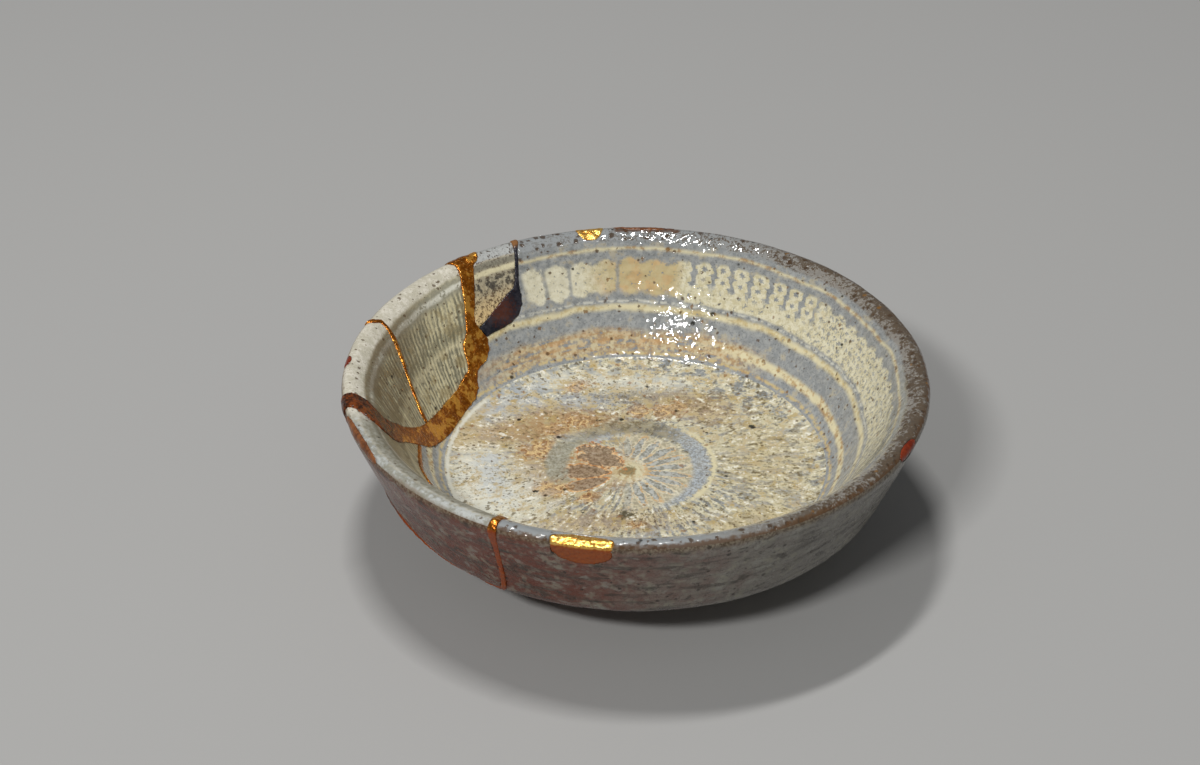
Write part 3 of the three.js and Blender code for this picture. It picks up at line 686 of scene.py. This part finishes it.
def sherdFinish(name, dark=False):
    made, tones = Finish(name), combedSherd["tones"]
    x, y, radius, place = made.x, made.y, made.radius, made.place
    grain = made.noise(place, 2.6, 2, 0.6)
    fine = made.noise(place, 0.9, 3, 0.62)
    medium = made.noise(place, 0.3, 3, 0.6)
    slow = made.noise(place, 0.1, 2)
    rim = radius + (slow - 0.5) * 1.2 + (fine - 0.5) * 0.5
    around = made.sum("ARCTAN2", y, x * -1) * (-180 / math.pi) + 180
    colour = made.mix(made.step(fine, 0.38, 0.62), tones["base"], tones["baseTop"])
    # combed slip: leaning strokes of cream and olive
    lean = (around + radius * 0.68) * 4.6 + (medium - 0.5) * 9 + (slow - 0.5) * 10
    combed = made.noise(made.vector(around * 0.6 + radius * 0.41, radius * 0.12, 0), 1, 2, 0.55, 0.2)
    combed = made.sum("SINE", lean) * 0.16 + combed
    low, high = combedSherd["band"]
    inBand = made.between(rim, low, high, 0.7)
    colour = made.mix(inBand * made.step(combed * 0.75 + fine * 0.25, 0.46, 0.38) * 0.8, colour,
                      tones["combGap"])
    colour = made.mix(inBand * made.step(combed * 0.75 + fine * 0.25, 0.52, 0.6) * 0.8, colour,
                      tones["combTop"])
    colour = made.mix(inBand * made.step(medium, 0.5, 0.62) * 0.6, colour, tones["combTan"])
    colour = made.mix(made.between(rim, *combedSherd["combRing"], 0.7) * made.step(fine, 0.4, 0.55) * 0.7,
                      colour, tones["combRing"])
    middle, width = combedSherd["lowerLine"]
    colour = made.mix(made.line(rim, middle, width, 0.4) * 0.55, colour, palette["cream"])
    colour = made.mix(made.between(rim, *combedSherd["underLine"], 0.5) * 0.65, colour, tones["underLine"])
    middle, width = combedSherd["line"]
    colour = made.mix(made.line(rim, middle, width, 0.25) * made.step(fine, 0.34, 0.46) * 0.95, colour,
                      palette["milk"])
    # browner and darker at the far left: partly a browner glaze, partly painted shade
    brownerAndShaded = made.step(x + (medium - 0.5) * 12, -42, -54) * made.step(medium * 0.5 + fine * 0.5, 0.3, 0.56)
    colour = made.mix(brownerAndShaded * 0.75, colour, tones["leftBrownShade"])
    # the lip, pale above; greyer at the front where it turns away, as painted shade, with a painted bluish
    # reflection along its crest
    lip = made.step(rim, *glazedWall["lip"])
    colour = made.mix(lip * 0.95, colour, made.mix(made.step(fine * 0.5 + medium * 0.5, 0.4, 0.6),
                                                   tones["lip"], tones["lipTop"]))
    colour = made.mix(lip * made.step(grain * 0.6 + fine * 0.4, 0.57, 0.63) * 0.6, colour,
                      tones["lipFleck"])
    front = made.step(around, 192, 200) * made.step(around, 360, 300)
    # painted shade on the front of the wall under the lip, where it turns away
    colour = made.mix(front * made.between(rim, *combedSherd["frontWallShade"], 0.6) * 0.75, colour, made.mix(
        made.step(fine, 0.4, 0.6), tones["frontWallShade"], tones["frontWallShadeTop"]))
    # painted bluish reflection along the crest of the lip at the front
    frontLipReflection = front * made.step(rim + (fine - 0.5) * 1.6, *combedSherd["frontLipReflection"])
    colour = made.mix(frontLipReflection * 0.75, colour, made.mix(
        made.step(fine * 0.5 + medium * 0.5, 0.42, 0.56), tones["frontLipReflection"], tones["frontLipReflectionTop"]))
    specks = made.spots(made.vector(x + grain, y + fine, made.z), 1.4, 0.5, 0.42)
    colour = made.mix(specks * 0.8, colour, tones["speck"])
    if dark:
        shade = made.step(radius + fine * 2.4, 52, 56)
        colour = made.mix(0.85, colour, made.mix(shade, tones["darkLow"], tones["darkHigh"]))
        colour = made.mix(made.step(grain * 0.5 + fine * 0.5, 0.5, 0.56) * 0.85, colour, tones["darkFleck"])
        darkRing = made.between(rim, *combedSherd["darkRing"], 0.5) * made.step(fine, 0.42, 0.54)
        colour = made.mix(darkRing * 0.85, colour, tones["darkRing"])
        colour = made.mix(made.line(rim, *combedSherd["darkLine"], 0.25) * 0.9, colour, palette["cream"])
        colour = made.mix(made.between(rim, *combedSherd["darkUnderLine"], 0.3) * 0.7, colour,
                          tones["darkUnderLine"])
        colour = made.mix(made.step(rim, *combedSherd["darkLip"]) * 0.85, colour, made.mix(
            made.step(grain * 0.5 + fine * 0.5, 0.54, 0.6), tones["darkLip"], tones["darkLipFleck"]))
    lipEdge = made.step(rim + (fine - 0.5) * 1.4, *combedSherd["lipEdge"])
    colour = made.mix(lipEdge * 0.6, colour, tones["lipEdge"])
    soot = made.spots(made.vector(x + fine, y, made.z), 4.4, 0.7, 0.3)
    colour = made.mix(soot * 0.9, colour, palette["soot"])
    height = combed * inBand * 0.5 + fine * 0.6 + grain * 0.2 - specks * 0.3
    return made.close(colour, 0.3 + fine * 0.25, height, 0.3)


outsideGlaze = {
    "tones": {
        "grey": paint(126, 122, 114), "red": paint(104, 54, 38), "ash": paint(146, 142, 124),
        "streak": paint(62, 54, 46), "pit": paint(64, 56, 46), "blot": paint(50, 44, 34),
        "bloom": paint(152, 152, 142), "edge": paint(82, 64, 44), "edgeTop": paint(128, 116, 96),
        "foot": paint(112, 84, 62), "footTop": paint(146, 116, 90), "speck": paint(48, 40, 30),
    },
}


def outsideFinish():
    made, tones = Finish("outside glaze"), outsideGlaze["tones"]
    x, place = made.x, made.place
    around = made.sum("ARCTAN2", x, made.y * -1) * (180 / math.pi)
    grain = made.noise(place, 2, 2, 0.6)
    fine = made.noise(place, 0.7, 4, 0.62)
    medium = made.noise(place, 0.2, 3, 0.6)
    streaks = made.noise(made.vector(around * 0.07, made.z * 0.5, 0), 1, 4, 0.66, 0.3)
    # reddish towards the left: partly the glaze's own tone, partly painted warm reflected light
    warmTintAndReflection = made.step(x + (medium - 0.5) * 60, 32, -28)
    colour = made.mix(warmTintAndReflection, tones["grey"], tones["red"])
    colour = made.mix(made.step(fine * 0.6 + medium * 0.4, 0.5, 0.62) * 0.6, colour, tones["ash"])
    colour = made.mix(made.step(streaks, 0.5, 0.64) * 0.7, colour, tones["streak"])
    colour = made.mix(made.step(fine * 0.5 + grain * 0.5, 0.45, 0.36) * 0.6, colour, tones["pit"])
    blots = made.noise(made.vector(around * 0.22, made.z * 0.4, 8), 1, 4, 0.62, 0.3)
    colour = made.mix(made.step(blots, 0.56, 0.64) * 0.7, colour, tones["blot"])
    colour = made.mix(made.step(blots, 0.42, 0.34) * 0.45, colour, tones["bloom"])
    edge = made.step(made.z + (fine - 0.5) * 2, 35.4, 36.8)
    colour = made.mix(edge * 0.75, colour, made.mix(made.step(grain, 0.42, 0.6), tones["edge"],
                                                    tones["edgeTop"]))
    foot = made.step(made.z + (fine - 0.5) * 1.2, 4.2, 2.6) * made.step(made.radius, 30, 28)
    colour = made.mix(foot * 0.9, colour, made.mix(made.step(fine, 0.4, 0.6), tones["foot"],
                                                   tones["footTop"]))
    specks = made.spots(place, 1.9, 0.6, 0.4)
    colour = made.mix(specks * 0.8, colour, tones["speck"])
    height = fine * 0.4 + medium + streaks * 0.3 - specks * 0.2
    return made.close(colour, 0.18 + fine * 0.2 + foot * 0.3, height, 0.35)


lacquerTones = {
    # dull tone, clear tone and metal share
    "gold_lacquer": (paint(140, 76, 12), paint(206, 126, 32), 0.7),
    "black_lacquer": (paint(26, 28, 36), paint(54, 52, 58), 0.0),
    "brown_lacquer": (paint(98, 60, 38), paint(140, 88, 52), 0.0),
    "red_lacquer": (paint(112, 36, 16), paint(140, 56, 28), 0.0),
}
lacquerWear = {
    # the leaf's glitter with painted glints, the rim's fills with their painted highlight, the dark limb
    # and outer side, and the black patch with its painted red reflection
    "tones": {
        "leafAndGlint": paint(250, 206, 124), "chip": paint(226, 158, 62), "chipHighlightTop": paint(252, 214, 120),
        "brightLeaf": paint(246, 186, 84), "outer": paint(118, 42, 6), "outerTop": paint(154, 70, 16),
        "limb": paint(46, 24, 14), "limbTop": paint(118, 56, 20), "blackAtLip": paint(150, 104, 60),
        "redReflection": paint(118, 62, 34),
    },
}


def lacquerFinish(name, body):
    made, tones = Finish(name.replace("_", " ")), lacquerWear["tones"]
    low, high, metal = body
    place, x, y = made.place, made.x, made.y
    grain = made.noise(place, 3.2, 2, 0.6)
    fine = made.noise(place, 1.5, 3, 0.65)
    swell = made.noise(place, 0.6, 2, 0.55)
    slow = made.noise(place, 0.25, 2)
    colour = made.mix(made.step(fine * 0.35 + swell * 0.3 + slow * 0.35, 0.42, 0.6), low, high)
    metallic, depth = metal, 0.12
    if name == "gold_lacquer":
        # bright flecks of gold leaf, brightened as painted glints
        flecks = made.step(grain * 0.6 + fine * 0.4, 0.58, 0.63)
        colour = made.mix(flecks * 0.8, colour, tones["leafAndGlint"])
        # the fills on the rim are painted yellower and brighter than the seams, as a painted highlight
        rimFillHighlight = made.sum("MAXIMUM", made.step(y, -50, -54) * made.step(abs(x + 11.2), 9, 8),
                         made.step(y, 54, 57) * made.step(x, -20, -17))
        colour = made.mix(rimFillHighlight * 0.8, colour, made.mix(made.step(fine, 0.4, 0.56), tones["chip"],
                                                        tones["chipHighlightTop"]))
        # the left limb of the wide seam is painted dark brown and not metallic, and the seam on the outside
        # has gone brown
        worn = made.step(x + (fine - 0.5) * 3, -48, -51.5) * made.step(y + (fine - 0.5) * 2, 12, 9)
        outer = made.step(made.radius - (made.z - 15) * 0.5, 49.4, 50.6)
        outer = outer * made.step(made.z + (fine - 0.5) * 0.4, 37.1, 36.5)
        brown = made.sum("MAXIMUM", worn, outer)
        bright = made.step(slow * 0.5 + swell * 0.3 + fine * 0.2, 0.52, 0.58)
        colour = made.mix(bright * 0.6, colour, tones["brightLeaf"])
        outerTone = made.mix(fine, tones["outer"], tones["outerTop"])
        limbTone = made.mix(made.step(fine * 0.5 + swell * 0.5, 0.42, 0.58), tones["limb"],
                            tones["limbTop"])
        colour = made.mix(brown * 0.95, colour, made.mix(worn, outerTone, limbTone))
        metallic, depth = (1 - brown) * metal, 0.3
    if name == "black_lacquer":
        # brown where it meets the lip, and a painted red reflection in the middle of the patch
        colour = made.mix(made.step(made.radius + (fine - 0.5), 58.6, 60) * 0.85, colour,
                          tones["blackAtLip"])
        redReflection = made.cloud((-29.9, 40.9), (3.4, 1.8), 40, (fine - 0.5) * 3, (1.5, 0.2))
        colour = made.mix(redReflection * 0.4, colour, tones["redReflection"])
    height = swell * 0.8 + fine * 0.35 + grain * 0.1
    return made.close(colour, 0.1 + fine * 0.24, height, depth, Metallic=metallic, Specular_IOR_Level=0.3)


finishes = {
    "floor": floorFinish(), "wall": wallFinish("wall glaze"), "sherd": sherdFinish("sherd glaze"),
    "darkSherd": sherdFinish("dark sherd glaze", dark=True), "outside": outsideFinish(),
}
for name, body in lacquerTones.items():
    finishes[name] = lacquerFinish(name, body)
print("finishes mixed")

# the right glaze on each face

glazeEdges = {
    # in mm: the inside glaze lies above the keel and within the middle of the wall's thickness
    "keel": 10.8, "halfway": 47.6, "from": 15, "lean": 0.566, "rim": 61.9, "floor": 41.6,
    "lip": 35, "lipTilt": 0.35, "floorTilt": 0.5,
}
for node, piece in potteryPieces.items():
    wall = {"cup_body": "wall", "sherd_back_left": "darkSherd"}.get(node, "sherd")
    mesh = piece.data
    mesh.materials.clear()
    for name in (wall, "outside", "floor"):
        mesh.materials.append(finishes[name])
    for face in mesh.polygons:
        middle = face.center / mm
        radius = math.hypot(middle.x, middle.y)
        halfway = glazeEdges["halfway"] + (middle.z - glazeEdges["from"]) * glazeEdges["lean"]
        onLip = middle.z > glazeEdges["lip"] and face.normal.z > glazeEdges["lipTilt"]
        inside = middle.z > glazeEdges["keel"] and radius < min(halfway, glazeEdges["rim"]) or onLip
        flat = radius < glazeEdges["floor"] and face.normal.z > glazeEdges["floorTilt"]
        face.material_index = 2 if inside and flat else 0 if inside else 1
    smooth(piece, 40)
    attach(piece, "root")
    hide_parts(node)
for node, piece in lacquerPieces.items():
    piece.data.materials.clear()
    piece.data.materials.append(finishes[lacquer["slots"][node]])
    smooth(piece, 180)
    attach(piece, "root")
    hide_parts(node)
print("pieces glazed")

# the pale ground, soft light and the camera

studio = {
    "groundTones": (paint(176, 175, 172), paint(175, 174, 172)), "groundSize": 8,  # metres
    "skyTone": (0.9, 0.92, 0.95, 1), "skyStrength": 0.15,
    # place in metres, width and height in metres, watts
    "lamps": {"window": ((-0.52, -1.1, 1.13), (0.34, 0.12), 14),
              "overhead": ((-0.1, 0.12, 1.1), (0.22, 0.06), 5.2)},
    "eye": (-0.0076, -0.51116, 0.36888), "tilt": 56.869, "lens": 85.93, "film": 36,
}
drop()
bpy.ops.mesh.primitive_plane_add(size=studio["groundSize"])
ground = bpy.context.object
ground.name = "ground"
groundFinish = Finish("pale ground")
groundNoise = groundFinish.noise(groundFinish.place, 0.01, 2)
groundTone = groundFinish.mix(groundNoise, *studio["groundTones"])
ground.data.materials.append(groundFinish.close(groundTone, 0.8))
for name, (where, size, watts) in studio["lamps"].items():
    bpy.ops.object.light_add(type="AREA", location=where)
    lamp = bpy.context.object
    lamp.name = name
    lamp.data.shape = "RECTANGLE"
    lamp.data.size, lamp.data.size_y = size
    lamp.data.energy = watts
    lamp.rotation_euler = (Vector((0, 0, 20 * mm)) - Vector(where)).to_track_quat("-Z", "Y").to_euler()
world = bpy.data.worlds.new("studio")
world.use_nodes = True
sky = world.node_tree.nodes["Background"]
sky.inputs["Color"].default_value = studio["skyTone"]
sky.inputs["Strength"].default_value = studio["skyStrength"]
bpy.context.scene.world = world
bpy.ops.object.camera_add(location=studio["eye"], rotation=(math.radians(studio["tilt"]), 0, 0))
camera = bpy.context.object
camera.data.lens = studio["lens"]
camera.data.sensor_width = studio["film"]
camera.data.clip_start = 10 * mm
bpy.context.scene.camera = camera
bpy.context.scene.view_settings.view_transform = "Standard"
print("studio set")
